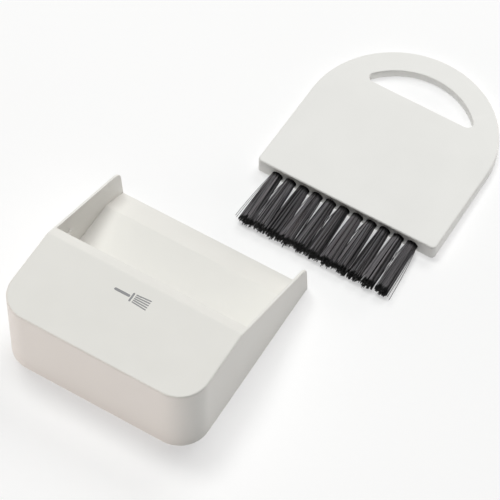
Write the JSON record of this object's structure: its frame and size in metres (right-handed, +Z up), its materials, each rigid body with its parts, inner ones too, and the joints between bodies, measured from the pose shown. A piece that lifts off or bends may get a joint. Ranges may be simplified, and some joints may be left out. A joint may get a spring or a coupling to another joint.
{
  "type": "tabletop brush and dustpan set",
  "caption": "Small moulded dustpan with a covered back, ramped lip and open sloping sides, and a flat hand brush with a finger slot and one row of dark bristle tufts.",
  "frame": {"origin": "on the table, below the middle of the whole set as it lies at rest", "axes": "+Z up from the table; +Y from the dustpan's back wall to its lip and on to the brush's handle; +X across, towards the brush's side"},
  "size_m": [0.1364, 0.2338, 0.0413],
  "materials": {
    "pan_plastic": "fine satin moulded surface, off-white",
    "plate_plastic": "fine satin moulded surface, off-white",
    "bristle": "charcoal nylon filament, slightly glossy",
    "wire": "flattened wire",
    "print": "thin grey printed mark"
  },
  "bodies": {
    "pan": {"dustpan": "pan_plastic"},
    "brush": {"brush_plate": "plate_plastic", "tuft_01": "bristle", "tuft_02": "bristle", "tuft_03": "bristle", "tuft_04": "bristle", "tuft_05": "bristle", "tuft_06": "bristle", "tuft_07": "bristle", "tuft_08": "bristle", "tuft_09": "bristle", "tuft_10": "bristle", "tuft_11": "bristle", "staple_01": "wire", "staple_02": "wire", "staple_03": "wire", "staple_04": "wire", "staple_05": "wire", "staple_06": "wire", "staple_07": "wire", "staple_08": "wire", "staple_09": "wire", "staple_10": "wire", "staple_11": "wire"}
  },
  "joints": [
    {"name": "brush_lift", "type": "slide", "parent": "pan", "child": "brush", "axis": [0, 0, 1], "range_m": [0, 0.1]}
  ]
}
